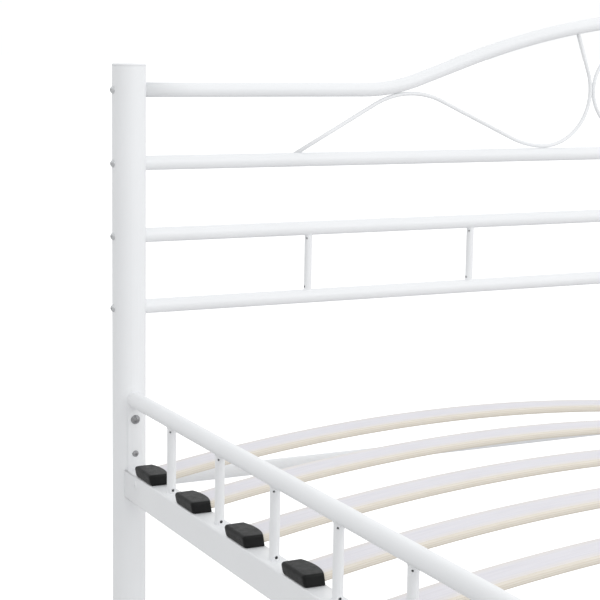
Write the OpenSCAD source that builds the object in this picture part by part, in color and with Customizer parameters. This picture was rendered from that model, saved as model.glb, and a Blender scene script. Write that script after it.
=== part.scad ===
// Metal daybed: four posts, an arched back panel with a scroll, two low arms with
// spindles, a front rail, a centre beam and two sets of sprung wooden slats.
// The floor is z = 0, the bed's long side runs along X and its back faces +Y.

/* [Overall] */
// Distance between the axes of the left and right posts
span_x = 1920; // [1900:10:2000]
// Distance between the axes of the back and front posts
span_y = 1078; // [1036:7:1120]
// Height of the seat rails' top face above the floor
seat_z = 340; // [300:5:420]
// Slats in each of the two sets, one to every gap between arm spindles
rows = 7; // [6:1:7]

/* [Posts] */
// Outside diameter of a post
post_d = 46; // [44:1:50]
// Wall of the post tube
post_wall = 1.5; // [1.2:0.1:2.5]
// Height of a post above the axis of its highest bar
post_over = 35; // [28:1:50]
// Thickness of the disc of a post cap
cap_disc = 3; // [2:0.5:5]
// Height of the glide under a post
foot_h = 6; // [4:1:12]

/* [Back panel] */
// Outside diameter of the back bars
bar_d = 20; // [18:1:22]
// Wall of the bar tubes
bar_wall = 1.2; // [1:0.1:1.5]
// Distance between the axes of neighbouring back bars
bar_pitch = 98.5; // [92:0.5:104]
// Height of the lowest open bar above the seat rails' top face
bar_low = 222; // [210:1:240]
// Depth of the seat bar's axis below the seat rails' top face
seat_bar_drop = 25; // [22:1:27]
// Outside diameter of the upright spindles in the back
back_spindle_d = 11; // [10:1:12]
// Gaps between the upright spindles in the back
back_gaps = 7; // [5:1:9]

/* [Arch] */
// Rise of the crown above the ends of the top rail
arch_rise = 114; // [110:1:118]
// Steepest slope of the arch in degrees
arch_slope = 18.8; // [18.5:0.1:19.5]
// Radius of the long curve over the crown
crown_r = 1321; // [1300:1:1340]
// Radius of the two sweeps from the level ends into the slopes
sweep_r = 272; // [250:1:290]

/* [Scroll] */
// Diameter of the scroll wire
wire_d = 6; // [5:0.5:7]
// Distance from the post axis to the lowest point of the drop
drop_x = 677; // [670:1:684]
// Radius of the round side of the drop
drop_r = 82.8; // [80:0.1:85]
// Radius of the heel between the drop and the falling run
heel_r = 146; // [130:1:160]
// Radius of the crest where the wire touches the top rail
crest_r = 129; // [120:1:138]
// Slope of the falling run in degrees
fall_slope = 24; // [22:0.5:25]
// Slope of the rising run in degrees
rise_slope = 28.4; // [27:0.1:30]
// Lean of the drop's last run from the vertical in degrees
drop_lean = 20.6; // [18:0.1:23]

/* [Arms] */
// Outside diameter of the guard tube
guard_d = 22; // [20:1:24]
// Height of the guard tube's axis above the seat rails' top face
guard_up = 97; // [90:1:110]
// Width of the seat rails
rail_w = 30; // [28:1:32]
// Height of the seat rails
rail_h = 40; // [36:1:44]
// Wall of the seat rails
rail_wall = 1.5; // [1.2:0.1:2]
// Outside diameter of the arm spindles
spindle_d = 12; // [11:1:13]
// Wall of the spindle tubes
spindle_wall = 1; // [0.8:0.1:1.2]
// Diameter of the vent hole at the foot of a spindle, with a smaller one at its top
vent_d = 4; // [3:0.5:5]

/* [Slats] */
// Width of a slat
slat_w = 50; // [46:1:53]
// Thickness of a slat
slat_t = 10; // [8:0.5:10]
// Rise of a slat's bow
slat_bow = 38; // [25:1:42]
// Distance from the post axis to the middle of the first and last slat
end_slat = 90; // [84:1:92]
// Extra height of the double holders on the centre beam
holder_lift = 6; // [0:1:8]

/* [Hidden] */
$fn = 64;
post_r = post_d / 2;
bar_r = bar_d / 2;
wire_r = wire_d / 2;
back_y = span_y / 2;
pitch = span_y / rows;
low_z = seat_z + bar_low;
mid_z = low_z + bar_pitch;
high_z = mid_z + bar_pitch;
top_z = high_z + bar_pitch;
seat_bar_z = seat_z - seat_bar_drop;
guard_z = seat_z + guard_up;
rail_mid_z = seat_z - rail_h / 2;
back_post_h = top_z + post_over;
front_post_h = guard_z + post_over;
screw_levels = [low_z, mid_z, high_z, top_z];
sides = [-1, 1];

// Difference between the vents at a spindle's foot and top
vent_less = 1.5;
// Clearance left at welds that only touch
kiss = 0.1;
// Width and height of the fine bead where a run meets a bend
seam_w = 0.6;
seam_up = 0.05;
// Clearance of a plug in its tube, and of a screw in its hole
loose = 0.1;
hole_loose = 0.3;

// Arch, seen from the front with the left post axis at x = 0 and the bar axis at z = 0
slope_run = (arch_rise - (sweep_r + crown_r) * (1 - cos(arch_slope))) / sin(arch_slope);
slope_reach = slope_run * cos(arch_slope);
sweep_x = span_x / 2 - (sweep_r + crown_r) * sin(arch_slope) - slope_reach;

// Scroll, in the same frame as the arch
wire_rest = -bar_pitch + bar_r + wire_r + kiss;
heel_end = [drop_x - heel_r * sin(fall_slope), wire_rest + heel_r * (1 - cos(fall_slope))];
up_fall = [-cos(fall_slope), sin(fall_slope)];
fall_normal = [sin(fall_slope), cos(fall_slope)];
crest_base = heel_end - crest_r * fall_normal;
to_sweep = [sweep_x, sweep_r] - crest_base;
crest_gap = sweep_r + bar_r + wire_r + crest_r + kiss;
fall_run = to_sweep * up_fall
    - sqrt(pow(to_sweep * up_fall, 2) - to_sweep * to_sweep + crest_gap * crest_gap);
crest_c = crest_base + fall_run * up_fall;
crest_start = crest_c + crest_r * [-sin(rise_slope), cos(rise_slope)];
rise_run = (crest_start[1] + bar_pitch - bar_r / 2) / sin(rise_slope);
drop_c = [drop_x, wire_rest + drop_r];
drop_end = drop_c + drop_r * [cos(drop_lean), sin(drop_lean)];
drop_run = (arch_rise - bar_d - drop_end[1]) / cos(drop_lean);
ring_left = drop_x + drop_r + wire_r + kiss;
ring_r = (span_x / 2 - ring_left - kiss) / 3 - wire_r;
ring_step = 2 * (ring_r + wire_r) + kiss;

// Screws
bar_screw_d = 6;
bar_head_d = 11;
bar_head_h = 3.6;
insert_l = 22;
arm_bolt_d = 8;
arm_head_d = 13;
arm_head_h = 4;
small_bolt_d = 6;
small_head_d = 9;
small_head_h = 2.8;
arm_bolt_z = seat_z + 69.5;
small_bolt_z = seat_z + 21.5;
cleat_w = 20;
cleat_t = 1.5;
rail_screw_in = 64;
rail_screw_z = seat_z - 12;
stub_l = 62;
stub_wall = 2;

// Slat holders
pocket_floor = 2.8;
slat_floor = 3;
cap_w = 57;
cap_h = 15;
cap_top_out = 16.5;
cap_foot_out = 14;
cap_mouth = 15.5;
cap_mouth_r = 76;
cap_wall = 3;
holder_half = 31;
peg_d = 8;
peg_l = 12;
slat_mouth = 14;
holder_mouth = 29;
tongue_out = 12;
tongue_in = 3;

// Centre beam
beam_w = 30;
hanger_t = 2;
hanger_d = 34;
leg_d = 25;
leg_foot_h = 12;

slat_y = [for (i = [0 : rows - 1])
    i == 0 ? back_y - end_slat : i == rows - 1 ? end_slat - back_y : back_y - pitch * (i + 0.5)];

// Shapes shared by the sub-parts

// Bend in the XZ plane about [c.x, c.z], from angle a to angle b
module bend(c, r, a, b, d) {
    translate([c[0], 0, c[1]]) rotate([90, 0, 0]) rotate([0, 0, a])
        rotate_extrude(angle = b - a) translate([r, 0]) circle(d = d);
}

// Straight run in the XZ plane from p, at angle a above the X axis
module run(p, a, length, d) {
    translate([p[0], 0, p[1]]) rotate([0, 90 - a, 0]) cylinder(h = length, d = d);
}

// Thin collar where a run meets a bend, square to the line at angle a
module seam(p, a, d) {
    translate([p[0], 0, p[1]]) rotate([0, 90 - a, 0]) translate([0, 0, -seam_w / 2])
        cylinder(h = seam_w, d = d + 2 * seam_up);
}

// Solid of every post's outside, which the bars and rails are cut to fit
module post_solids() {
    for (sx = sides, sy = sides) translate([sx * span_x / 2, sy * back_y, 0])
        cylinder(h = back_post_h, d = post_d);
}

// Tube along X from post axis to post axis
module cross_tube(y, z, d, wall) {
    difference() {
        translate([-span_x / 2, y, z]) rotate([0, 90, 0]) cylinder(h = span_x, d = d);
        translate([-span_x / 2 - 1, y, z]) rotate([0, 90, 0])
            cylinder(h = span_x + 2, d = d - 2 * wall);
        post_solids();
    }
}

// Dome head along +Z with a cross recess, and a skirt below z = 0 to fit a curved wall
module dome_head(d, h) {
    ball = (pow(d / 2, 2) + h * h) / (2 * h);
    difference() {
        intersection() {
            translate([0, 0, h - ball]) sphere(r = ball);
            translate([0, 0, -1.2]) cylinder(d = d, h = h + 2);
        }
        for (turn = [0, 90]) rotate([0, 0, turn])
            translate([-d / 4, -d / 16, h - 1.6]) cube([d / 2, d / 8, 3]);
    }
}

// Dome screw along X: its head sits outside the post on side s, its shank points inwards
module post_screw(s, y, z, d, head_d, head_h, length) {
    difference() {
        translate([s * (span_x / 2 + post_r), y, z]) rotate([0, s * 90, 0])
            dome_head(head_d, head_h);
        translate([s * span_x / 2, y, z - 20]) cylinder(h = 40, d = post_d);
    }
    translate([s * (span_x / 2 + post_r + 0.5), y, z]) rotate([0, -s * 90, 0])
        cylinder(h = length, d = d);
}

// Posts

module post(sx, sy, h) {
    drills = sy > 0 ? screw_levels : [rail_mid_z - 10, rail_mid_z + 10];
    color("whitesmoke") translate([sx * span_x / 2, sy * back_y, 0]) difference() {
        translate([0, 0, foot_h]) cylinder(h = h - cap_disc - foot_h, d = post_d);
        cylinder(h = h, d = post_d - 2 * post_wall);
        for (z = drills) translate([-post_d, 0, z]) rotate([0, 90, 0])
            cylinder(h = 2 * post_d, d = bar_screw_d + 2 * hole_loose);
        translate([0, 0, arm_bolt_z]) rotate([sy * 90, 0, 0])
            cylinder(h = post_d, d = arm_bolt_d + 2 * hole_loose);
        translate([0, 0, small_bolt_z]) rotate([sy * 90, 0, 0])
            cylinder(h = post_d, d = small_bolt_d + 2 * hole_loose);
    }
}

module post_plug(depth) {
    cylinder(h = depth, d = post_d - 2 * post_wall - 2 * loose);
}

module post_cap(sx, sy, h) {
    color("white") translate([sx * span_x / 2, sy * back_y, h - cap_disc]) {
        cylinder(h = cap_disc - 1, d = post_d);
        translate([0, 0, cap_disc - 1]) cylinder(h = 1, d1 = post_d, d2 = post_d - 2);
        translate([0, 0, -14]) post_plug(14);
    }
}

module foot(sx, sy) {
    color("gainsboro") translate([sx * span_x / 2, sy * back_y, 0]) {
        cylinder(h = 1, d1 = post_d - 3, d2 = post_d);
        translate([0, 0, 1]) cylinder(h = foot_h - 1, d = post_d);
        translate([0, 0, foot_h]) post_plug(16);
    }
}

// Back panel

module half_arch(d) {
    slope_start = [sweep_x + sweep_r * sin(arch_slope), sweep_r * (1 - cos(arch_slope))];
    slope_end = slope_start + slope_run * [cos(arch_slope), sin(arch_slope)];
    run([0, 0], 0, sweep_x, d);
    seam([sweep_x, 0], 0, d);
    bend([sweep_x, sweep_r], sweep_r, -90, arch_slope - 90, d);
    seam(slope_start, arch_slope, d);
    run(slope_start, arch_slope, slope_run, d);
    seam(slope_end, arch_slope, d);
}

module crown(d) {
    bend([span_x / 2, arch_rise - crown_r], crown_r, 90 - arch_slope, 90 + arch_slope, d);
}

module arch(d) {
    translate([-span_x / 2, 0, 0]) half_arch(d);
    translate([-span_x / 2, 0, 0]) crown(d);
    mirror([1, 0, 0]) translate([-span_x / 2, 0, 0]) half_arch(d);
}

module back_top_rail() {
    color("white") difference() {
        translate([0, back_y, top_z]) arch(bar_d);
        translate([0, back_y, top_z]) arch(bar_d - 2 * bar_wall);
        post_solids();
    }
}

module back_spindles() {
    inner = back_spindle_d - 2 * spindle_wall;
    color("white") for (i = [1 : back_gaps - 1]) difference() {
        s = i < back_gaps / 2 ? -1 : 1;
        translate([i * span_x / back_gaps - span_x / 2, back_y, low_z]) difference() {
            cylinder(h = bar_pitch, d = back_spindle_d);
            translate([0, 0, -1]) cylinder(h = bar_pitch + 2, d = inner);
            translate([0, 0, bar_r + vent_d]) rotate([90, 0, s * 90])
                cylinder(h = back_spindle_d, d = vent_d);
            translate([0, 0, bar_pitch - bar_r - vent_d]) rotate([90, 0, s * 52])
                cylinder(h = back_spindle_d, d = vent_d - vent_less);
        }
        for (z = [low_z, mid_z]) translate([-span_x / 2, back_y, z]) rotate([0, 90, 0])
            cylinder(h = span_x, d = bar_d);
    }
}

// Left scroll wire: up from the high bar, over a crest, down and round a drop to the top rail
module scroll_path() {
    run(crest_start, 180 + rise_slope, rise_run, wire_d);
    seam(crest_start, rise_slope, wire_d);
    bend(crest_c, crest_r, 90 - fall_slope, 90 + rise_slope, wire_d);
    seam(crest_c + crest_r * fall_normal, -fall_slope, wire_d);
    run(heel_end, 180 - fall_slope, fall_run, wire_d);
    seam(heel_end, -fall_slope, wire_d);
    bend([drop_x, wire_rest + heel_r], heel_r, -90 - fall_slope, -90, wire_d);
    seam([drop_x, wire_rest], 0, wire_d);
    bend(drop_c, drop_r, -90, drop_lean, wire_d);
    seam(drop_end, 90 + drop_lean, wire_d);
    run(drop_end, 90 + drop_lean, drop_run, wire_d);
}

module scroll_wire() {
    color("white") translate([-span_x / 2, back_y, top_z]) difference() {
        scroll_path();
        crown(bar_d);
        translate([0, 0, -bar_pitch]) rotate([0, 90, 0]) cylinder(h = drop_x - heel_r, d = bar_d);
    }
}

module scroll_ring(place) {
    color("white") translate([place * ring_step, back_y, top_z]) rotate([90, 0, 0])
        rotate_extrude() translate([ring_r, 0]) circle(d = wire_d);
}

// Arms

module arm_guard(s) {
    color("white") difference() {
        translate([s * span_x / 2, back_y, guard_z]) rotate([90, 0, 0])
            cylinder(h = span_y, d = guard_d);
        translate([s * span_x / 2, back_y + 1, guard_z]) rotate([90, 0, 0])
            cylinder(h = span_y + 2, d = guard_d - 2 * bar_wall);
        post_solids();
    }
}

// Pilot for a cap's peg at every slat
module peg_holes(x) {
    for (y = slat_y) translate([x, y, seat_z - peg_l]) cylinder(h = 2 * peg_l, d = peg_d + 0.4);
}

module arm_rail(s) {
    color("white") difference() {
        translate([s * span_x / 2 - rail_w / 2, -back_y, seat_z - rail_h])
            cube([rail_w, span_y, rail_h]);
        translate([s * span_x / 2 - rail_w / 2 + rail_wall, -back_y - 1,
                   seat_z - rail_h + rail_wall])
            cube([rail_w - 2 * rail_wall, span_y + 2, rail_h - 2 * rail_wall]);
        post_solids();
        peg_holes(s * span_x / 2);
        for (sy = sides) translate([s * span_x / 2, sy * (back_y - rail_screw_in), rail_screw_z])
            rotate([0, s * 90, 0]) cylinder(h = rail_w, d = small_bolt_d + 2 * hole_loose);
    }
}

module arm_spindles(s) {
    inner = spindle_d - 2 * spindle_wall;
    color("white") for (j = [1 : rows - 1]) difference() {
        translate([s * span_x / 2, back_y - j * pitch, seat_z]) difference() {
            cylinder(h = guard_up, d = spindle_d);
            translate([0, 0, -1]) cylinder(h = guard_up + 2, d = inner);
            translate([0, 0, vent_d]) rotate([90, 0, 0]) cylinder(h = spindle_d, d = vent_d);
            translate([0, 0, guard_up - guard_d / 2 - vent_d]) rotate([90, 0, s * 40])
                cylinder(h = spindle_d, d = vent_d - vent_less);
        }
        translate([s * span_x / 2, back_y, guard_z]) rotate([90, 0, 0])
            cylinder(h = span_y, d = guard_d);
    }
}

// Curved cleat between the seat rail and the guard tube, bolted to its post
module arm_cleat(sx, sy) {
    difference() {
        translate([sx * span_x / 2, sy * back_y, seat_z]) intersection() {
            difference() {
                cylinder(h = guard_up, r = post_r + cleat_t);
                translate([0, 0, -1]) cylinder(h = guard_up + 2, r = post_r);
                translate([0, 0, arm_bolt_z - seat_z]) rotate([sy * 90, 0, 0])
                    cylinder(h = post_d, d = arm_bolt_d + 2 * hole_loose);
                translate([0, 0, small_bolt_z - seat_z]) rotate([sy * 90, 0, 0])
                    cylinder(h = post_d, d = small_bolt_d + 2 * hole_loose);
            }
            translate([-cleat_w / 2, sy > 0 ? -post_d : 0, 0]) cube([cleat_w, post_d, guard_up]);
        }
        translate([sx * span_x / 2, back_y, guard_z]) rotate([90, 0, 0])
            cylinder(h = span_y, d = guard_d);
    }
}

module arm_cleats() {
    color("white") for (sx = sides, sy = sides) arm_cleat(sx, sy);
}

// Box stub welded to the post, inside the end of the seat rail
module arm_rail_stubs() {
    wide = rail_w - 2 * rail_wall - 2 * loose;
    tall = rail_h - 2 * rail_wall - 2 * loose;
    color("silver") for (sx = sides, sy = sides) difference() {
        translate([sx * span_x / 2, sy * (back_y - stub_l), rail_mid_z]) difference() {
            rotate([sy * -90, 0, 0]) translate([-wide / 2, -tall / 2, 0])
                cube([wide, tall, stub_l]);
            rotate([sy * -90, 0, 0]) translate([stub_wall - wide / 2, stub_wall - tall / 2, -1])
                cube([wide - 2 * stub_wall, tall - 2 * stub_wall, stub_l + 2]);
        }
        post_solids();
        peg_holes(sx * span_x / 2);
    }
}

// Front and centre

module front_rail() {
    color("white") difference() {
        translate([-span_x / 2, -back_y - rail_w / 2, seat_z - rail_h])
            cube([span_x, rail_w, rail_h]);
        translate([-span_x / 2 - 1, -back_y - rail_w / 2 + rail_wall,
                   seat_z - rail_h + rail_wall])
            cube([span_x + 2, rail_w - 2 * rail_wall, rail_h - 2 * rail_wall]);
        post_solids();
    }
}

beam_back = back_y - bar_r - hanger_t - hole_loose;
beam_front = -back_y + rail_w / 2 + hanger_t + hole_loose;

module centre_beam() {
    color("white") difference() {
        translate([-beam_w / 2, beam_front, seat_z - rail_h])
            cube([beam_w, beam_back - beam_front, rail_h]);
        translate([-beam_w / 2 + rail_wall, beam_front - 1, seat_z - rail_h + rail_wall])
            cube([beam_w - 2 * rail_wall, beam_back - beam_front + 2, rail_h - 2 * rail_wall]);
        peg_holes(0);
    }
}

// Open sheet pocket that carries one end of the beam; its plate is at y = 0
module beam_hanger() {
    wide = beam_w + 2 * hanger_t + 2 * hole_loose;
    tall = rail_h - 4;
    difference() {
        translate([-wide / 2, -hanger_d, -hanger_t - loose]) cube([wide, hanger_d, tall]);
        translate([hanger_t - wide / 2, -hanger_d - 1, -loose])
            cube([wide - 2 * hanger_t, hanger_d - hanger_t + 1, tall + 1]);
    }
}

module beam_hangers() {
    color("white") {
        translate([0, back_y - bar_r, seat_z - rail_h]) beam_hanger();
        translate([0, rail_w / 2 - back_y, seat_z - rail_h]) mirror([0, 1, 0]) beam_hanger();
    }
}

module centre_leg() {
    under = seat_z - rail_h - loose;
    color("white") {
        difference() {
            translate([0, 0, leg_foot_h]) cylinder(h = under - 3 - leg_foot_h, d = leg_d);
            cylinder(h = under - 10, d = leg_d - 2 * post_wall);
        }
        difference() {
            translate([-beam_w / 2, -35, under - 3]) cube([beam_w, 70, 3]);
            for (sy = sides) translate([0, sy * 26, under - 10]) cylinder(h = 20, d = 5);
        }
    }
}

module centre_foot() {
    color("gainsboro") {
        cylinder(h = 4, d = 38);
        translate([0, 0, 4]) cylinder(h = leg_foot_h - 4, d1 = 34, d2 = leg_d + 2);
        translate([0, 0, leg_foot_h]) cylinder(h = 18, d = leg_d - 2 * post_wall - 2 * loose);
    }
}

// Slats

// Bowed slat of the left set, with a level tongue at each end for its holders
module slat(y) {
    x_out = slat_mouth - span_x / 2;
    x_in = -holder_mouth;
    z_out = seat_z + slat_floor;
    z_in = z_out + holder_lift;
    chord = norm([x_in - x_out, z_in - z_out]);
    bow_r = chord * chord / (8 * slat_bow) + slat_bow / 2;
    half = asin(chord / 2 / bow_r);
    color("antiquewhite") {
        translate([(x_out + x_in) / 2, y, (z_out + z_in + slat_t) / 2])
            rotate([0, -atan2(z_in - z_out, x_in - x_out), 0])
            translate([0, 0, slat_bow - bow_r]) rotate([90, 0, 0]) rotate([0, 0, 90 - half])
            rotate_extrude(angle = 2 * half)
            translate([bow_r - slat_t / 2, -slat_w / 2]) square([slat_t, slat_w]);
        translate([-span_x / 2 - tongue_out, y - slat_w / 2, z_out])
            cube([tongue_out + slat_mouth + 1, slat_w, slat_t]);
        translate([x_in - 1, y - slat_w / 2, z_in])
            cube([holder_mouth + 1 - tongue_in, slat_w, slat_t]);
    }
}

module slat_pair(i, s) {
    if (s < 0) slat(slat_y[i]);
    else mirror([1, 0, 0]) slat(slat_y[i]);
}

// End cap of a slat; +X points at the slat and z = 0 is the rail's top face
module slat_cap() {
    difference() {
        intersection() {
            translate([0, 0, -1]) linear_extrude(cap_h + 2) intersection() {
                translate([-20, -cap_w / 2]) square([40, cap_w]);
                translate([cap_mouth - cap_mouth_r, 0]) circle(r = cap_mouth_r);
            }
            translate([0, cap_w / 2, 0]) rotate([90, 0, 0]) linear_extrude(cap_w)
                polygon([[-cap_foot_out, 0], [-cap_top_out, cap_h - 3], [3 - cap_top_out, cap_h],
                         [18, cap_h], [18, cap_h - 3], [13, 0]]);
        }
        translate([cap_wall - cap_top_out, -slat_w / 2 - hole_loose, pocket_floor])
            cube([40, slat_w + 2 * hole_loose, slat_t + 2 * (slat_floor - pocket_floor)]);
    }
    translate([0, 0, -peg_l]) cylinder(h = peg_l, d = peg_d);
}

module slat_caps_left() {
    color("dimgray") for (y = slat_y) translate([-span_x / 2, y, seat_z]) slat_cap();
}

module slat_caps_right() {
    color("dimgray") for (y = slat_y) translate([span_x / 2, y, seat_z])
        mirror([1, 0, 0]) slat_cap();
}

// Double holder on the centre beam, with a pocket on each side of a middle wall
module double_holder() {
    total = cap_h + holder_lift;
    difference() {
        linear_extrude(total) intersection() {
            square([2 * holder_half, cap_w], center = true);
            translate([holder_half - cap_mouth_r, 0]) circle(r = cap_mouth_r);
            translate([cap_mouth_r - holder_half, 0]) circle(r = cap_mouth_r);
        }
        for (s = sides) translate([s < 0 ? -50 : 2.5, -slat_w / 2 - hole_loose,
                                   holder_lift + pocket_floor])
            cube([47.5, slat_w + 2 * hole_loose, slat_t + 2 * (slat_floor - pocket_floor)]);
    }
    translate([0, 0, -peg_l]) cylinder(h = peg_l, d = peg_d);
}

module slat_double_holders() {
    color("dimgray") for (y = slat_y) translate([0, y, seat_z]) double_holder();
}

// Fasteners

// Threaded plug in each end of the four open bars, and a spigot welded to each back post for
// the seat bar to slide on
module bar_inserts() {
    plug_d = bar_d - 2 * bar_wall - 2 * loose;
    color("silver") for (s = sides) {
        for (z = screw_levels) difference() {
            translate([s * (span_x / 2 - post_r - 3), back_y, z]) rotate([0, -s * 90, 0])
                cylinder(h = insert_l, d = plug_d);
            translate([s * (span_x / 2 - post_r), back_y, z]) rotate([0, -s * 90, 0])
                cylinder(h = insert_l + 9, d = bar_screw_d + 2 * loose);
        }
        difference() {
            translate([s * (span_x / 2 - post_r / 2), back_y, seat_bar_z])
                rotate([0, -s * 90, 0]) cylinder(h = post_r / 2 + 2 * insert_l, d = plug_d);
            post_solids();
        }
    }
}

module bar_screws() {
    color("darkgray") for (s = sides, z = screw_levels)
        post_screw(s, back_y, z, bar_screw_d, bar_head_d, bar_head_h, post_d + insert_l);
}

module front_rail_inserts() {
    color("silver") for (s = sides) difference() {
        translate([s * (span_x / 2 - post_r - 14), -back_y, rail_mid_z])
            cube([18, rail_w - 2 * rail_wall - 2 * loose, rail_h - 2 * rail_wall - 2 * loose],
                 center = true);
        for (dz = [-10, 10]) translate([s * span_x / 2, -back_y, rail_mid_z + dz])
            rotate([0, -s * 90, 0]) cylinder(h = 60, d = bar_screw_d + 2 * loose);
    }
}

module front_rail_bolts() {
    color("darkgray") for (s = sides, dz = [-10, 10])
        post_screw(s, -back_y, rail_mid_z + dz, bar_screw_d, bar_head_d, bar_head_h, post_d + 20);
}

// Bolt through a cleat, with its head towards the middle of the arm
module cleat_bolt(sx, sy, z, d, head_d, head_h) {
    face = post_r + cleat_t;
    difference() {
        translate([sx * span_x / 2, sy * (back_y - face), z]) rotate([sy * 90, 0, 0])
            dome_head(head_d, head_h);
        translate([sx * span_x / 2, sy * back_y, z - 20]) cylinder(h = 40, r = face);
    }
    translate([sx * span_x / 2, sy * (back_y - face - 0.5), z]) rotate([-sy * 90, 0, 0])
        cylinder(h = 16, d = d);
}

module arm_bolts() {
    color("darkgray") for (sx = sides, sy = sides)
        cleat_bolt(sx, sy, arm_bolt_z, arm_bolt_d, arm_head_d, arm_head_h);
}

module arm_small_bolts() {
    color("darkgray") for (sx = sides, sy = sides)
        cleat_bolt(sx, sy, small_bolt_z, small_bolt_d, small_head_d, small_head_h);
}

module rail_screws() {
    color("white") for (sx = sides, sy = sides)
        translate([sx * (span_x / 2 + rail_w / 2), sy * (back_y - rail_screw_in), rail_screw_z])
        rotate([0, sx * 90, 0]) {
            difference() {
                dome_head(small_head_d + 2, 2);
                translate([0, 0, -5]) cylinder(h = 5, d = 20);
            }
            translate([0, 0, -rail_wall]) cylinder(h = rail_wall + 0.5, d = small_bolt_d);
        }
}

post(-1, 1, back_post_h);  // post_back_left
post(1, 1, back_post_h);  // post_back_right
post(-1, -1, front_post_h);  // post_front_left
post(1, -1, front_post_h);  // post_front_right
post_cap(-1, 1, back_post_h);  // post_cap_back_left
post_cap(1, 1, back_post_h);  // post_cap_back_right
post_cap(-1, -1, front_post_h);  // post_cap_front_left
post_cap(1, -1, front_post_h);  // post_cap_front_right
foot(-1, 1);  // foot_back_left
foot(1, 1);  // foot_back_right
foot(-1, -1);  // foot_front_left
foot(1, -1);  // foot_front_right
back_top_rail();
color("white") cross_tube(back_y, high_z, bar_d, bar_wall);  // back_bar_high
color("white") cross_tube(back_y, mid_z, bar_d, bar_wall);  // back_bar_middle
color("white") cross_tube(back_y, low_z, bar_d, bar_wall);  // back_bar_low
color("white") cross_tube(back_y, seat_bar_z, bar_d, bar_wall);  // back_seat_bar
back_spindles();
scroll_wire();  // scroll_wire_left
mirror([1, 0, 0]) scroll_wire();  // scroll_wire_right
scroll_ring(-1);  // scroll_ring_left
scroll_ring(0);  // scroll_ring_middle
scroll_ring(1);  // scroll_ring_right
arm_guard(-1);  // arm_guard_left
arm_guard(1);  // arm_guard_right
arm_rail(-1);  // arm_rail_left
arm_rail(1);  // arm_rail_right
arm_spindles(-1);  // arm_spindles_left
arm_spindles(1);  // arm_spindles_right
arm_cleats();
arm_rail_stubs();
front_rail();
centre_beam();
beam_hangers();
centre_leg();
centre_foot();
slat_caps_left();
slat_caps_right();
slat_double_holders();
bar_inserts();
bar_screws();
arm_bolts();
arm_small_bolts();
rail_screws();
front_rail_inserts();
front_rail_bolts();
for (i = [1 : rows]) slat_pair(i - 1, -1);
for (i = [1 : rows]) slat_pair(i - 1, 1);
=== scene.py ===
import math

import bpy
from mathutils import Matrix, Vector


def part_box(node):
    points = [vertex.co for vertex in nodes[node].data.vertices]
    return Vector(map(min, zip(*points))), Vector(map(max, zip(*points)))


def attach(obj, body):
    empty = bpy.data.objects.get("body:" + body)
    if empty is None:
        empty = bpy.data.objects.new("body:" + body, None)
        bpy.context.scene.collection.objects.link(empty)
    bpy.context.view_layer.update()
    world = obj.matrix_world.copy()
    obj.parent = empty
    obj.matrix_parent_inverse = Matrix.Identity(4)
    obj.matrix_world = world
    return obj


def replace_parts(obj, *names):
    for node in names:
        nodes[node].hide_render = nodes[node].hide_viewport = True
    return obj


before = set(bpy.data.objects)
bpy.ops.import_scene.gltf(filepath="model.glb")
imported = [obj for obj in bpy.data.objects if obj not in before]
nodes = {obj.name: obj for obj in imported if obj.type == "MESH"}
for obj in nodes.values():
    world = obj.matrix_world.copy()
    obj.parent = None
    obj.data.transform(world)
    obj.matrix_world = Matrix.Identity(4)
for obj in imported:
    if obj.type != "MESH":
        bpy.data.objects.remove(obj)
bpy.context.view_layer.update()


# ---------------------------------------------------------------- materials

def tree(material):
    """The material's node tree, emptied, and its new output."""
    material.use_nodes = True
    nt = material.node_tree
    nt.nodes.clear()
    out = nt.nodes.new("ShaderNodeOutputMaterial")
    return nt, out


def node(nt, kind, **settings):
    made = nt.nodes.new(kind)
    for key, value in settings.items():
        setattr(made, key, value)
    return made


def noise(nt, vector, scale, detail=3.0, rough=0.5):
    n = node(nt, "ShaderNodeTexNoise")
    n.inputs["Scale"].default_value = scale
    n.inputs["Detail"].default_value = detail
    n.inputs["Roughness"].default_value = rough
    nt.links.new(vector, n.inputs["Vector"])
    return n.outputs["Fac"]


def ramp(nt, fac, stops):
    r = node(nt, "ShaderNodeValToRGB")
    e = r.color_ramp.elements
    while len(e) < len(stops):
        e.new(0.5)
    for item, (place, colour) in zip(e, stops):
        item.position = place
        item.color = (*colour, 1.0)
    nt.links.new(fac, r.inputs["Fac"])
    return r.outputs["Color"]


def remap(nt, value, low, high, from_low=0.3, from_high=0.7):
    """The value with from_low to from_high spread over low to high."""
    m = node(nt, "ShaderNodeMapRange")
    m.inputs["From Min"].default_value = from_low
    m.inputs["From Max"].default_value = from_high
    m.inputs["To Min"].default_value = low
    m.inputs["To Max"].default_value = high
    nt.links.new(value, m.inputs["Value"])
    return m.outputs["Result"]


def bump(nt, height, strength, distance, before=None):
    b = node(nt, "ShaderNodeBump")
    b.inputs["Strength"].default_value = strength
    b.inputs["Distance"].default_value = distance
    nt.links.new(height, b.inputs["Height"])
    if before is not None:
        nt.links.new(before, b.inputs["Normal"])
    return b.outputs["Normal"]


def principled(nt, out, metallic=0.0, specular=0.5):
    p = node(nt, "ShaderNodeBsdfPrincipled")
    p.inputs["Metallic"].default_value = metallic
    p.inputs["Specular IOR Level"].default_value = specular
    nt.links.new(p.outputs["BSDF"], out.inputs["Surface"])
    return p


def coords(nt, kind="Object"):
    return node(nt, "ShaderNodeTexCoord").outputs[kind]


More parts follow.
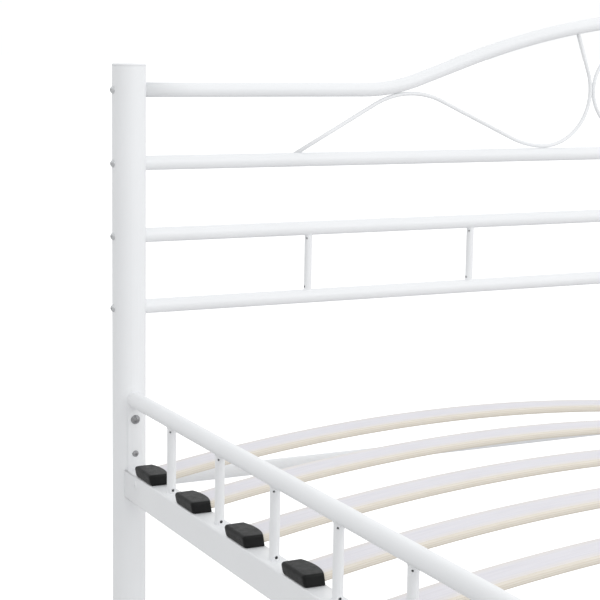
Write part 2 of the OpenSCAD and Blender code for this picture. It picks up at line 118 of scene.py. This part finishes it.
def coat(name, light, shade, rough=(0.34, 0.44), peel=0.05):
    """Satin powder coat: a fine orange peel over a slow, faint change of tone."""
    material = bpy.data.materials.new(name)
    nt, out = tree(material)
    p = principled(nt, out)
    where = coords(nt)
    nt.links.new(ramp(nt, noise(nt, where, 9.0), [(0.35, shade), (0.65, light)]),
                 p.inputs["Base Color"])
    nt.links.new(remap(nt, noise(nt, where, 60.0), *rough), p.inputs["Roughness"])
    wave = bump(nt, noise(nt, where, 420.0, 2.0), peel, 0.0006)
    nt.links.new(bump(nt, noise(nt, where, 1800.0, 1.0), peel * 0.6, 0.0002, wave),
                 p.inputs["Normal"])
    return material


def moulded(name, light, shade, rough=(0.42, 0.55), grain=0.25, specular=0.5):
    """Moulded plastic with a fine spark-eroded grain."""
    material = bpy.data.materials.new(name)
    nt, out = tree(material)
    p = principled(nt, out, specular=specular)
    where = coords(nt)
    nt.links.new(ramp(nt, noise(nt, where, 40.0), [(0.35, shade), (0.65, light)]),
                 p.inputs["Base Color"])
    nt.links.new(remap(nt, noise(nt, where, 150.0), *rough), p.inputs["Roughness"])
    nt.links.new(bump(nt, noise(nt, where, 2400.0, 3.0, 0.6), grain, 0.00025),
                 p.inputs["Normal"])
    return material


def plated(name, light, shade, rough=(0.28, 0.42)):
    """Bright zinc plate, a little uneven."""
    material = bpy.data.materials.new(name)
    nt, out = tree(material)
    p = principled(nt, out, metallic=1.0)
    where = coords(nt)
    nt.links.new(ramp(nt, noise(nt, where, 180.0), [(0.3, shade), (0.7, light)]),
                 p.inputs["Base Color"])
    nt.links.new(remap(nt, noise(nt, where, 400.0), *rough), p.inputs["Roughness"])
    nt.links.new(bump(nt, noise(nt, where, 1500.0), 0.1, 0.0002), p.inputs["Normal"])
    return material


def stretched(nt, along, across):
    """A slat's own coordinates, scaled along it and across it."""
    m = node(nt, "ShaderNodeMapping")
    m.inputs["Scale"].default_value = (along, across, 1.0)
    nt.links.new(coords(nt, "UV"), m.inputs["Vector"])
    return m.outputs["Vector"]


def blend(nt, factor, first, second, mode="MIX"):
    """Colour mixed from first to second; factor is a number or a socket."""
    mix = node(nt, "ShaderNodeMix", data_type="RGBA", blend_type=mode)
    if isinstance(factor, float):
        mix.inputs["Factor"].default_value = factor
    else:
        nt.links.new(factor, mix.inputs["Factor"])
    nt.links.new(first, mix.inputs[6])
    nt.links.new(second, mix.inputs[7])
    return mix.outputs[2]


def foil(name):
    """White-washed foil over a slat: a faint grain along it, warmer towards its edges."""
    material = bpy.data.materials.new(name)
    nt, out = tree(material)
    p = principled(nt, out)
    grain = noise(nt, stretched(nt, 14.0, 420.0), 1.0, 4.0, 0.6)
    washed = ramp(nt, grain, [(0.3, (0.700, 0.684, 0.724)), (0.6, (0.748, 0.732, 0.772))])
    worn = ramp(nt, grain, [(0.3, (0.735, 0.690, 0.650)), (0.6, (0.775, 0.730, 0.690))])
    split = node(nt, "ShaderNodeSeparateXYZ")
    nt.links.new(coords(nt, "UV"), split.inputs["Vector"])
    size = node(nt, "ShaderNodeMath", operation="ABSOLUTE")
    nt.links.new(split.outputs["Y"], size.inputs[0])
    near_edge = remap(nt, size.outputs[0], 0.0, 1.0, 0.010, 0.024)
    nt.links.new(blend(nt, near_edge, washed, worn), p.inputs["Base Color"])
    nt.links.new(remap(nt, grain, 0.5, 0.38), p.inputs["Roughness"])
    nt.links.new(bump(nt, grain, 0.12, 0.0003), p.inputs["Normal"])
    return material


def ply(name):
    """Rounded edge of the bonded slat: pale layers with thin glue lines along it."""
    material = bpy.data.materials.new(name)
    nt, out = tree(material)
    p = principled(nt, out, specular=0.3)
    layers = node(nt, "ShaderNodeTexWave", wave_type="BANDS", bands_direction="Y")
    layers.inputs["Scale"].default_value = 130.0
    layers.inputs["Distortion"].default_value = 0.6
    layers.inputs["Detail"].default_value = 2.0
    layers.inputs["Detail Scale"].default_value = 0.4
    nt.links.new(stretched(nt, 0.15, 1.0), layers.inputs["Vector"])
    base = ramp(nt, layers.outputs["Fac"],
                [(0.0, (0.690, 0.625, 0.530)), (0.14, (0.760, 0.708, 0.628)),
                 (1.0, (0.790, 0.742, 0.668))])
    fibre = noise(nt, stretched(nt, 30.0, 900.0), 1.0, 4.0, 0.6)
    tone = ramp(nt, fibre, [(0.3, (0.93, 0.92, 0.90)), (0.65, (1.0, 1.0, 1.0))])
    nt.links.new(blend(nt, 1.0, base, tone, "MULTIPLY"), p.inputs["Base Color"])
    nt.links.new(remap(nt, fibre, 0.7, 0.55), p.inputs["Roughness"])
    nt.links.new(bump(nt, fibre, 0.25, 0.0003), p.inputs["Normal"])
    return material


PAINT = coat("frame_paint", (0.858, 0.866, 0.880), (0.842, 0.850, 0.864))
CAP_WHITE = moulded("caps_white", (0.850, 0.856, 0.868), (0.835, 0.842, 0.854),
                    rough=(0.36, 0.46), grain=0.12)
FEET = moulded("feet", (0.560, 0.565, 0.575), (0.530, 0.535, 0.545),
               rough=(0.45, 0.58), grain=0.2)
BLACK = moulded("holders", (0.0070, 0.0073, 0.0074), (0.0048, 0.0050, 0.0051),
                rough=(0.40, 0.50), grain=0.35, specular=0.19)
ZINC = plated("fasteners", (0.40, 0.40, 0.41), (0.28, 0.28, 0.29))
BRIGHT = plated("post_screws", (0.68, 0.69, 0.70), (0.55, 0.56, 0.57))
FOIL = foil("slats")
PLY = ply("slat_edges")


# ---------------------------------------------------------------- mesh helpers

ROD_GAP = 0.08
RAIL_GAP = 0.12


def piece(name, verts, faces, materials, indices=None, uvs=None):
    """A mesh piece of the bed, riding on the one body. indices gives each face's material and
    uvs each vertex's place on the texture."""
    mesh = bpy.data.meshes.new(name)
    mesh.from_pydata([tuple(v) for v in verts], [], faces)
    for material in materials:
        mesh.materials.append(material)
    if indices:
        mesh.polygons.foreach_set("material_index", indices)
    if uvs:
        layer = mesh.uv_layers.new(name="UVMap")
        flat = [c for face in faces for v in face for c in uvs[v]]
        layer.data.foreach_set("uv", flat)
    mesh.validate()
    mesh.shade_smooth()
    made = bpy.data.objects.new(name, mesh)
    bpy.context.scene.collection.objects.link(made)
    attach(made, "root")
    return made


def weighted(made):
    m = made.modifiers.new("normals", "WEIGHTED_NORMAL")
    m.weight = 60
    return made


def rings_to_faces(count, sides, closed=False, caps=True, start=0):
    """Quads between rings of `sides` vertices, one ring after another."""
    faces = []
    for i in range(count if closed else count - 1):
        a, b = start + i * sides, start + (i + 1) % count * sides
        for k in range(sides):
            n = (k + 1) % sides
            faces.append((a + k, a + n, b + n, b + k))
    if caps and not closed:
        faces.append(tuple(start + k for k in reversed(range(sides))))
        faces.append(tuple(start + (count - 1) * sides + k for k in range(sides)))
    return faces


def arc(centre, radius, begin, end, step=1.5):
    """Points of an arc in the XZ plane, its angles in degrees."""
    count = max(2, math.ceil(abs(end - begin) / step) + 1)
    turns = [math.radians(begin + (end - begin) * i / (count - 1)) for i in range(count)]
    return [(centre[0] + radius * math.cos(a), centre[1] + radius * math.sin(a)) for a in turns]


def joined(*runs):
    """The runs end to end, without the points they share, and long runs divided."""
    points = [runs[0][0]]
    for p in (p for run in runs for p in run):
        last = points[-1]
        gap = math.dist(p, last)
        if gap < 1e-6:
            continue
        parts = max(1, round(gap / ROD_GAP))
        points += [(last[0] + (p[0] - last[0]) * i / parts, last[1] + (p[1] - last[1]) * i / parts)
                   for i in range(1, parts + 1)]
    return points


def rod(name, points, y, radius, material, closed=False, sides=40):
    """Round rod along points in the plane y."""
    verts = []
    count = len(points)
    side = Vector((0, 1, 0))
    for i, (x, z) in enumerate(points):
        before = points[i - 1] if closed or i else points[0]
        after = points[(i + 1) % count] if closed or i < count - 1 else points[-1]
        along = Vector((after[0] - before[0], 0, after[1] - before[1])).normalized()
        out = along.cross(side)
        for k in range(sides):
            a = 2 * math.pi * k / sides
            verts.append(Vector((x, y, z)) + radius * (math.cos(a) * out + math.sin(a) * side))
    return piece(name, verts, rings_to_faces(count, sides, closed), [material])


def rounded(wide, high, radius, parts=5, along=0):
    """Points of a rounded rectangle about the origin, anticlockwise from its right side, with
    `along` more points on its top and on its bottom."""
    points = []
    for sx, sy, turn in ((1, 1, 0), (-1, 1, 90), (-1, -1, 180), (1, -1, 270)):
        for i in range(parts + 1):
            a = math.radians(turn + 90 * i / parts)
            points.append((sx * (wide / 2 - radius) + radius * math.cos(a),
                           sy * (high / 2 - radius) + radius * math.sin(a)))
        if turn in (0, 180):
            flat = wide / 2 - radius
            points += [(sx * flat * (1 - 2 * i / (along + 1)), sy * high / 2)
                       for i in range(1, along + 1)]
    return points


def box_rail(name, low, high, axis, material, radius=0.0022, ends=0.0):
    """Box tube with rounded edges along axis 0 (X) or 1 (Y), closed at its ends, each of
    which stands back by `ends` from the box."""
    cross = 1 - axis
    centre = (low + high) / 2
    section = rounded(high[cross] - low[cross], high[2] - low[2], radius)
    begin, end = low[axis] + ends, high[axis] - ends
    count = max(2, round((end - begin) / RAIL_GAP)) + 1
    verts = []
    for i in range(count):
        for across, up in section:
            p = Vector((0, 0, centre.z + up))
            p[axis] = begin + (end - begin) * i / (count - 1)
            p[cross] = centre[cross] + (across if axis else -across)
            verts.append(p)
    return weighted(piece(name, verts, rings_to_faces(count, len(section)), [material]))


def lathe(name, centre, profile, material, sides=72):
    """Turned piece about the vertical through centre; profile is (radius, z) from the bottom."""
    verts = []
    for radius, z in profile:
        for k in range(sides):
            a = 2 * math.pi * k / sides
            verts.append(Vector((centre[0] + radius * math.cos(a),
                                 centre[1] + radius * math.sin(a), z)))
    return weighted(piece(name, verts, rings_to_faces(len(profile), sides), [material]))


def middle(name):
    """Centre of a CAD node's box."""
    low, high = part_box(name)
    return (low + high) / 2


# ---------------------------------------------------------------- CAD nodes that stay

for name, made in nodes.items():
    if name.startswith(("bar_screws", "front_rail_bolts")):
        surface = BRIGHT
    elif name.startswith(("arm_bolts", "arm_small_bolts", "bar_inserts",
                          "front_rail_inserts")):
        surface = ZINC
    else:
        surface = PAINT
    for slot in made.material_slots:
        slot.material = surface

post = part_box("post_back_left")
post_x = (post[0].x + post[1].x) / 2
post_r = (post[1].x - post[0].x) / 2
back_y = (post[0].y + post[1].y) / 2
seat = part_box("arm_rail_left")[1].z


# ---------------------------------------------------------------- arch and scroll

# The arch: level, a sweep up, a straight slope and one arc over the crown.
SLOPE = math.radians(18.8)
CROWN_R = 1.321
SWEEP_R = 0.272
POST_SINK = 0.004
low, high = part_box("back_top_rail")
bar_r = (high.y - low.y) / 2
rail_z = low.z + bar_r
rise = high.z - bar_r - rail_z
slope_run = (rise - (SWEEP_R + CROWN_R) * (1 - math.cos(SLOPE))) / math.sin(SLOPE)
sweep_x = -(SWEEP_R + CROWN_R) * math.sin(SLOPE) - slope_run * math.cos(SLOPE)
slope_deg = math.degrees(SLOPE)
left = joined([(post_x + post_r - POST_SINK, rail_z), (sweep_x, rail_z)],
              arc((sweep_x, rail_z + SWEEP_R), SWEEP_R, -90, slope_deg - 90),
              arc((0, rail_z + rise - CROWN_R), CROWN_R, 90 + slope_deg, 90, 0.6))
arch = left + [(-x, z) for x, z in reversed(left[:-1])]
top_rail = rod("top_rail", arch, back_y, bar_r, PAINT, sides=64)
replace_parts(top_rail, "back_top_rail")

# The scroll wire, from its foot on the bar: a rise, a crest, a fall, a heel that rests on the
# bar, a drop-shaped turn and a leaning end under the arch.
WIRE_R = 0.003
DROP_X = 0.677
DROP_R = 0.0828
HEEL_R = 0.146
CREST_R = 0.129
FALL = math.radians(24)
RISE = math.radians(28.4)
LEAN = math.radians(20.6)
KISS = 0.0001
BAR_BITE = 0.7
ARCH_BITE = 1.7
high_z = middle("back_bar_high").z
reach = post_x + DROP_X
rest = high_z + bar_r + WIRE_R + KISS
heel_end = Vector((reach - HEEL_R * math.sin(FALL), rest + HEEL_R * (1 - math.cos(FALL))))
up_fall = Vector((-math.cos(FALL), math.sin(FALL)))
fall_normal = Vector((math.sin(FALL), math.cos(FALL)))
crest_base = heel_end - CREST_R * fall_normal
to_sweep = Vector((sweep_x, rail_z + SWEEP_R)) - crest_base
crest_gap = SWEEP_R + bar_r + WIRE_R + CREST_R + KISS
fall_run = to_sweep.dot(up_fall) - math.sqrt(
    to_sweep.dot(up_fall) ** 2 - to_sweep.length_squared + crest_gap ** 2)
crest = crest_base + fall_run * up_fall
crest_start = crest + CREST_R * Vector((-math.sin(RISE), math.cos(RISE)))
rise_run = (crest_start.y - high_z - bar_r * BAR_BITE) / math.sin(RISE)
foot = crest_start - rise_run * Vector((math.cos(RISE), math.sin(RISE)))
drop = Vector((reach, rest + DROP_R))
drop_end = drop + DROP_R * Vector((math.cos(LEAN), math.sin(LEAN)))
lean_dir = Vector((-math.sin(LEAN), math.cos(LEAN)))
drop_run = (rail_z + rise - ARCH_BITE * bar_r - drop_end.y) / math.cos(LEAN)
path = joined([tuple(foot), tuple(crest_start)],
              arc(crest, CREST_R, 90 + math.degrees(RISE), 90 - math.degrees(FALL)),
              arc((reach, rest + HEEL_R), HEEL_R, -90 - math.degrees(FALL), -90),
              arc(drop, DROP_R, -90, math.degrees(LEAN)),
              [tuple(drop_end), tuple(drop_end + drop_run * lean_dir)])
for side, s in (("left", 1), ("right", -1)):
    points = path if s > 0 else [(-x, z) for x, z in reversed(path)]
    wire = rod("scroll_" + side, points, back_y, WIRE_R, PAINT, sides=24)
    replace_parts(wire, "scroll_wire_" + side)
for side in ("left", "middle", "right"):
    low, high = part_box("scroll_ring_" + side)
    centre = (low + high) / 2
    ring = rod("ring_" + side, arc((centre.x, centre.z), (high.x - low.x) / 2 - WIRE_R,
                                   0, 360, 2.5)[:-1],
               back_y, WIRE_R, PAINT, closed=True, sides=24)
    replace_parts(ring, "scroll_ring_" + side)


# ---------------------------------------------------------------- rails

for side in ("left", "right"):
    low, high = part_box("arm_rail_" + side)
    rail = box_rail("side_rail_" + side, low, high, 1, PAINT, ends=0.004)
    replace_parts(rail, "arm_rail_" + side)
low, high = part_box("front_rail")
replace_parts(box_rail("front_rail_tube", low, high, 0, PAINT, ends=0.004),
            "front_rail")
low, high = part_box("centre_beam")
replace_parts(box_rail("beam_tube", low, high, 1, PAINT), "centre_beam")


# ---------------------------------------------------------------- post caps and feet

CAP_EDGE = 0.0016
FOOT_EDGE = 0.0018
QUARTER = [math.radians(a) for a in range(0, 91, 15)]
for place in ("back_left", "back_right", "front_left", "front_right"):
    low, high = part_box("post_cap_" + place)
    c = (low + high) / 2
    r, top = (high.x - low.x) / 2, high.z
    profile = [(r - 0.0022, low.z), (r - 0.0022, top - 0.0032), (r - 0.0006, top - 0.0030),
               (r - 0.0002, top - 0.0027)]
    profile += [(r - CAP_EDGE + CAP_EDGE * math.cos(a), top - CAP_EDGE + CAP_EDGE * math.sin(a))
                for a in QUARTER]
    profile += [(r * f, top) for f in (0.9, 0.6, 0.3, 0.05)]
    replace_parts(lathe("cap_" + place, (c.x, c.y), profile, CAP_WHITE),
                "post_cap_" + place)
    low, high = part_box("foot_" + place)
    c = (low + high) / 2
    r = (high.x - low.x) / 2
    post_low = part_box("post_" + place)[0].z
    profile = [(r * f, 0.0) for f in (0.05, 0.5, 0.88)]
    profile += [(r - FOOT_EDGE + FOOT_EDGE * math.sin(a), FOOT_EDGE - FOOT_EDGE * math.cos(a))
                for a in QUARTER]
    profile += [(r, post_low - 0.0006), (r - 0.0008, post_low - 0.0001), (r - 0.0021, post_low),
                (r - 0.0021, high.z)]
    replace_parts(lathe("glide_" + place, (c.x, c.y), profile, FEET), "foot_" + place)
low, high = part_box("centre_foot")
leg_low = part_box("centre_leg")[0].z
profile = [(0.001, 0.0), (0.012, 0.0), (0.0175, 0.0), (0.0186, 0.0004), (0.019, 0.0014),
           (0.019, 0.0032), (0.0185, 0.0040), (0.0172, 0.0044), (0.0160, 0.0062),
           (0.0146, leg_low - 0.0012), (0.0138, leg_low - 0.0002), (0.0122, leg_low),
           (0.0108, leg_low), (0.0108, high.z)]
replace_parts(lathe("leg_shoe", (0, 0), profile, FEET), "centre_foot")


# ---------------------------------------------------------------- slats

ROWS = 7
SLAT_T = 0.010
SLAT_BOW = 0.038
INNER_LIFT = 0.006
TONGUE = 0.026
TONGUE_END = 0.004
EDGE_R = 0.0042
PLY_RIM = 0.0030
ARC_STEPS = 48


def slat(name, cad):
    """Bowed strip with eased edges: a level tongue at each end and one long arc between."""
    low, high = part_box(cad)
    sign = 1 if high.x < 0.01 else -1
    x_out, x_in = (low.x, high.x) if sign > 0 else (high.x, low.x)
    z_out = low.z + SLAT_T / 2
    z_in = z_out + INNER_LIFT
    a = Vector((x_out + sign * TONGUE, z_out))
    b = Vector((x_in - sign * TONGUE, z_in))
    chord = (b - a).length
    radius = chord ** 2 / (8 * SLAT_BOW) + SLAT_BOW / 2
    up = Vector((-(b - a).y, (b - a).x)).normalized() * sign
    hub = (a + b) / 2 + up * (SLAT_BOW - radius)
    start = math.atan2(a.y - hub.y, a.x - hub.x)
    stop = math.atan2(b.y - hub.y, b.x - hub.x)
    turns = [start + (stop - start) * i / ARC_STEPS for i in range(ARC_STEPS + 1)]
    points = [Vector((x_out, z_out)), a - Vector((sign * TONGUE_END, 0))]
    points += [hub + radius * Vector((math.cos(t), math.sin(t))) for t in turns]
    points += [b + Vector((sign * TONGUE_END, 0)), Vector((x_in, z_in))]
    wide = high.y - low.y
    section = rounded(wide, SLAT_T, EDGE_R, 6, 3)
    centre = (low.y + high.y) / 2
    verts, uvs, along = [], [], 0.0
    for i, p in enumerate(points):
        before, after = points[max(0, i - 1)], points[min(len(points) - 1, i + 1)]
        run = (after - before).normalized()
        normal = Vector((-run.y, run.x)) * sign
        along += (p - before).length if i else 0.0
        for across, rise_by in section:
            spot = p + normal * rise_by
            verts.append(Vector((spot.x, centre + across * sign, spot.y)))
            uvs.append((along, rise_by if abs(across) > wide / 2 - PLY_RIM else across))
    sides = len(section)
    faces = rings_to_faces(len(points), sides)
    edge = [abs(section[k][0] + section[(k + 1) % sides][0]) / 2 > wide / 2 - PLY_RIM
            for k in range(sides)]
    indices = [int(edge[k % sides]) for k in range(len(faces) - 2)] + [1, 1]
    return weighted(piece(name, verts, faces, [FOIL, PLY], indices, uvs))


for side in ("left", "right"):
    for i in range(1, ROWS + 1):
        cad = "slat_%s_%d" % (side, i)
        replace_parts(slat("strip_%s_%d" % (side, i), cad), cad)


# ---------------------------------------------------------------- slat holders

HOLDER_W = 0.057
POCKET_W = 0.0506
POCKET_R = 0.0010
BULGE = 0.0055


def holder_ring(at, wide, low_z, high_z, radius, y, bulge=0.0):
    """Rounded section at x = at(z), pushed forward by bulge at the middle of its width."""
    ring = []
    for across, up in rounded(wide, high_z - low_z, radius, 4, 11):
        z = (low_z + high_z) / 2 + up
        ring.append(Vector((at(z) - bulge * (across / (wide / 2)) ** 2, y + across, z)))
    return ring


def end_cap(centre_x, y, s):
    """Slat cap on a side rail: sloped outer end, open mouth that bows towards the slat."""
    tall = 0.015
    low_z, high_z = seat, seat + tall
    pocket_low, pocket_high = seat + 0.0028, seat + 0.0132

    def slope(z):
        return -0.0140 - 0.0025 * min(1.0, (z - low_z) / 0.012)

    def mouth(x):
        return lambda z: x + 0.0026 * (1.0 - (z - low_z) / tall)

    rings = []
    for inset, back in ((0.0060, 0.0000), (0.0030, 0.0001), (0.0016, 0.0006), (0.0006, 0.0016),
                        (0.0001, 0.0030), (0.0, 0.0046)):
        rings.append(holder_ring(lambda z, back=back: slope(z) + back, HOLDER_W - 2 * inset,
                                 low_z + inset * 0.5, high_z - inset, 0.0034, y))
    for at, wide, low, high, radius, bulge in (
            (lambda z: -0.004, HOLDER_W, low_z, high_z, 0.0030, BULGE * 0.3),
            (lambda z: 0.006, HOLDER_W, low_z, high_z, 0.0028, BULGE * 0.75),
            (mouth(0.0130), HOLDER_W, low_z, high_z, 0.0026, BULGE),
            (mouth(0.0142), HOLDER_W - 0.0008, low_z + 0.0004, high_z - 0.0004, 0.0024, BULGE),
            (mouth(0.0148), HOLDER_W - 0.0024, low_z + 0.0010, high_z - 0.0008, 0.0020, BULGE),
            (mouth(0.0145), 0.0512, seat + 0.0026, seat + 0.0134, 0.0012, BULGE),
            (mouth(0.0132), POCKET_W, pocket_low, pocket_high, POCKET_R, BULGE),
            (lambda z: -0.0134, POCKET_W, pocket_low, pocket_high, POCKET_R, 0.0)):
        rings.append(holder_ring(at, wide, low, high, radius, y, bulge))
    for ring in rings:
        for v in ring:
            v.x = centre_x + s * v.x
    if s < 0:
        rings = [list(reversed(ring)) for ring in rings]
    return rings


def black_parts(name, cad, groups):
    """One piece from the rings of every holder of a kind."""
    verts, faces = [], []
    for rings in groups:
        sides = len(rings[0])
        faces += rings_to_faces(len(rings), sides, start=len(verts))
        verts += [v for ring in rings for v in ring]
    faces = [tuple(reversed(f)) for f in faces]
    made = weighted(piece(name, verts, faces, [BLACK]))
    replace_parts(made, cad)


rows = [middle("slat_left_%d" % i).y for i in range(1, ROWS + 1)]
black_parts("end_caps_left", "slat_caps_left", [end_cap(post_x, y, 1) for y in rows])
black_parts("end_caps_right", "slat_caps_right", [end_cap(-post_x, y, -1) for y in rows])


def double_holder(y):
    """Holder on the beam, with a pocket and a rounded mouth at each end."""
    low_z, high_z = seat, seat + 0.021
    lip = ((0.0294, 0.0), (0.0305, 0.0004), (0.0310, 0.0012), (0.0307, 0.0026))

    def pocket(x, bulge):
        return holder_ring(lambda z: x, POCKET_W, seat + 0.0088, seat + 0.0192, POCKET_R, y, bulge)

    def outside(x, inset, radius, bulge):
        return holder_ring(lambda z: x, HOLDER_W - 2 * inset, low_z + inset * 0.6,
                           high_z - inset, radius, y, bulge)

    rings = [pocket(-0.0025, 0), pocket(-0.0296, -BULGE)]
    rings += [outside(-x, inset, 0.0028 - inset * 0.4, -BULGE) for x, inset in reversed(lip)]
    rings += [outside(-0.012, 0.0, 0.0028, -BULGE * 0.3), outside(0.012, 0.0, 0.0028, BULGE * 0.3)]
    rings += [outside(x, inset, 0.0028 - inset * 0.4, BULGE) for x, inset in lip]
    return rings + [pocket(0.0296, BULGE), pocket(0.0025, 0)]


black_parts("double_holders", "slat_double_holders", [double_holder(y) for y in rows])


# ---------------------------------------------------------------- weld fillets

FILLET_RINGS = 6
FILLET_SIDES = 32
SINK = 0.0002


def fillet(centre, radius, wide, high, down, drop):
    """Concave ring where an upright meets something: drop(x, y) is how far the other surface
    lies beyond centre.z at that offset, and down is -1 for a joint at an upright's foot."""
    rings = []
    for i in range(FILLET_RINGS):
        t = i / (FILLET_RINGS - 1)
        out = wide * (1 - math.sin(t * math.pi / 2))
        up = high * (1 - math.cos(t * math.pi / 2))
        ring = []
        for k in range(FILLET_SIDES):
            a = 2 * math.pi * k / FILLET_SIDES
            x, y = (radius + out) * math.cos(a), (radius + out) * math.sin(a)
            base = drop(x, y)
            ring.append(Vector((centre.x + x, centre.y + y, centre.z - down * (base + up))))
        rings.append(ring)
    return rings


def fillets(name, groups):
    """One piece from the rings of every weld."""
    verts, faces = [], []
    for rings in groups:
        faces += rings_to_faces(len(rings), FILLET_SIDES, start=len(verts), caps=False)
        verts += [v for ring in rings for v in ring]
    piece(name, verts, faces, [PAINT])


def split_rows(cad, axis, count):
    """Places of one node's equal uprights along axis, and their radius, from its box."""
    low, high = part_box(cad)
    size = min(high.x - low.x, high.y - low.y)
    first, last = low[axis] + size / 2, high[axis] - size / 2
    return [first + (last - first) * i / (count - 1) for i in range(count)], size / 2


for side in ("left", "right"):
    guard = middle("arm_guard_" + side)
    guard_low, guard_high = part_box("arm_guard_" + side)
    guard_r = (guard_high.z - guard_low.z) / 2
    places, r = split_rows("arm_spindles_" + side, 1, 6)
    under = lambda x, y: math.sqrt(max(guard_r ** 2 - x ** 2, 0.0)) - SINK
    groups = [fillet(Vector((guard.x, y, guard.z)), r, 0.0022, 0.0026, 1, under) for y in places]
    fillets("arm_welds_" + side, groups)

low_bar, mid_bar = middle("back_bar_low"), middle("back_bar_middle")
places, r = split_rows("back_spindles", 0, 6)
across = lambda x, y: math.sqrt(max(bar_r ** 2 - y ** 2, 0.0)) - SINK
groups = [fillet(Vector((x, back_y, mid_bar.z)), r, 0.0018, 0.0020, 1, across) for x in places]
groups += [fillet(Vector((x, back_y, low_bar.z)), r, 0.0018, 0.0018, -1, across) for x in places]
fillets("back_welds", groups)


# ---------------------------------------------------------------- studio

FLOOR_HALF = 60
CARD_X = -4.4
CARD_HALF = 4.0
CARD_LOW, CARD_HIGH = -1.5, 2.6
GLOW = 0.72
LENS = 99.29
CAMERA_AT = (-1.7635, -1.5602, 0.9328)
CAMERA_TURN = (80.922, -0.906, -26.773)

# White all round, dimmer below the horizon.
world = bpy.data.worlds.new("studio")
bpy.context.scene.world = world
world.use_nodes = True
nt = world.node_tree
nt.nodes.clear()
out = nt.nodes.new("ShaderNodeOutputWorld")
sky = nt.nodes.new("ShaderNodeBackground")
split = nt.nodes.new("ShaderNodeSeparateXYZ")
level = nt.nodes.new("ShaderNodeMapRange")
level.inputs["From Min"].default_value = -0.30
level.inputs["From Max"].default_value = -0.02
level.inputs["To Min"].default_value = 0.70
level.inputs["To Max"].default_value = 1.02
nt.links.new(nt.nodes.new("ShaderNodeTexCoord").outputs["Generated"], split.inputs["Vector"])
nt.links.new(split.outputs["Z"], level.inputs["Value"])
nt.links.new(level.outputs["Result"], sky.inputs["Strength"])
nt.links.new(sky.outputs["Background"], out.inputs["Surface"])
sky.inputs["Color"].default_value = (0.985, 0.995, 1.0, 1.0)


def sheet_of(name, corners, material):
    """Flat sheet for the studio, which isn't part of the bed."""
    mesh = bpy.data.meshes.new(name)
    mesh.from_pydata(corners, [], [(0, 1, 2, 3)])
    mesh.materials.append(material)
    made = bpy.data.objects.new(name, mesh)
    bpy.context.scene.collection.objects.link(made)
    return made


def glow(name, diffuse):
    """Matt white light with a grey surface under it."""
    material = bpy.data.materials.new(name)
    nt, out = tree(material)
    p = principled(nt, out, specular=0.0)
    p.inputs["Roughness"].default_value = 0.9
    p.inputs["Base Color"].default_value = (diffuse, diffuse, diffuse, 1.0)
    p.inputs["Emission Color"].default_value = (1.0, 1.0, 1.0, 1.0)
    p.inputs["Emission Strength"].default_value = GLOW
    return material


floor = sheet_of("floor", [(-FLOOR_HALF, -FLOOR_HALF, 0), (FLOOR_HALF, -FLOOR_HALF, 0),
                           (FLOOR_HALF, FLOOR_HALF, 0), (-FLOOR_HALF, FLOOR_HALF, 0)],
                 glow("floor", 0.55))
floor.visible_diffuse = False
floor.visible_glossy = False
left_flag = sheet_of("flag_left",
                     [(CARD_X, -CARD_HALF, CARD_LOW), (CARD_X, CARD_HALF, CARD_LOW),
                      (CARD_X, CARD_HALF, CARD_HIGH), (CARD_X, -CARD_HALF, CARD_HIGH)],
                     glow("flag_left", 0.02))
left_flag.visible_camera = False
left_flag.visible_shadow = False


def lamp(name, where, aim, size, power):
    """Soft rectangular light, turned to its aim."""
    data = bpy.data.lights.new(name, "AREA")
    data.shape = "RECTANGLE"
    data.size, data.size_y = size
    data.energy = power
    made = bpy.data.objects.new(name, data)
    made.location = where
    made.rotation_euler = (Vector(aim) - Vector(where)).to_track_quat("-Z", "Y").to_euler()
    bpy.context.scene.collection.objects.link(made)


lamp("key", (1.2, -4.2, 2.6), (-0.3, 0.2, 0.5), (4.0, 2.6), 48.0)

data = bpy.data.cameras.new("camera")
data.lens = LENS
data.sensor_width = 36.0
camera = bpy.data.objects.new("camera", data)
camera.location = CAMERA_AT
camera.rotation_euler = [math.radians(a) for a in CAMERA_TURN]
bpy.context.scene.collection.objects.link(camera)
bpy.context.scene.camera = camera
bpy.context.scene.view_settings.view_transform = "Standard"
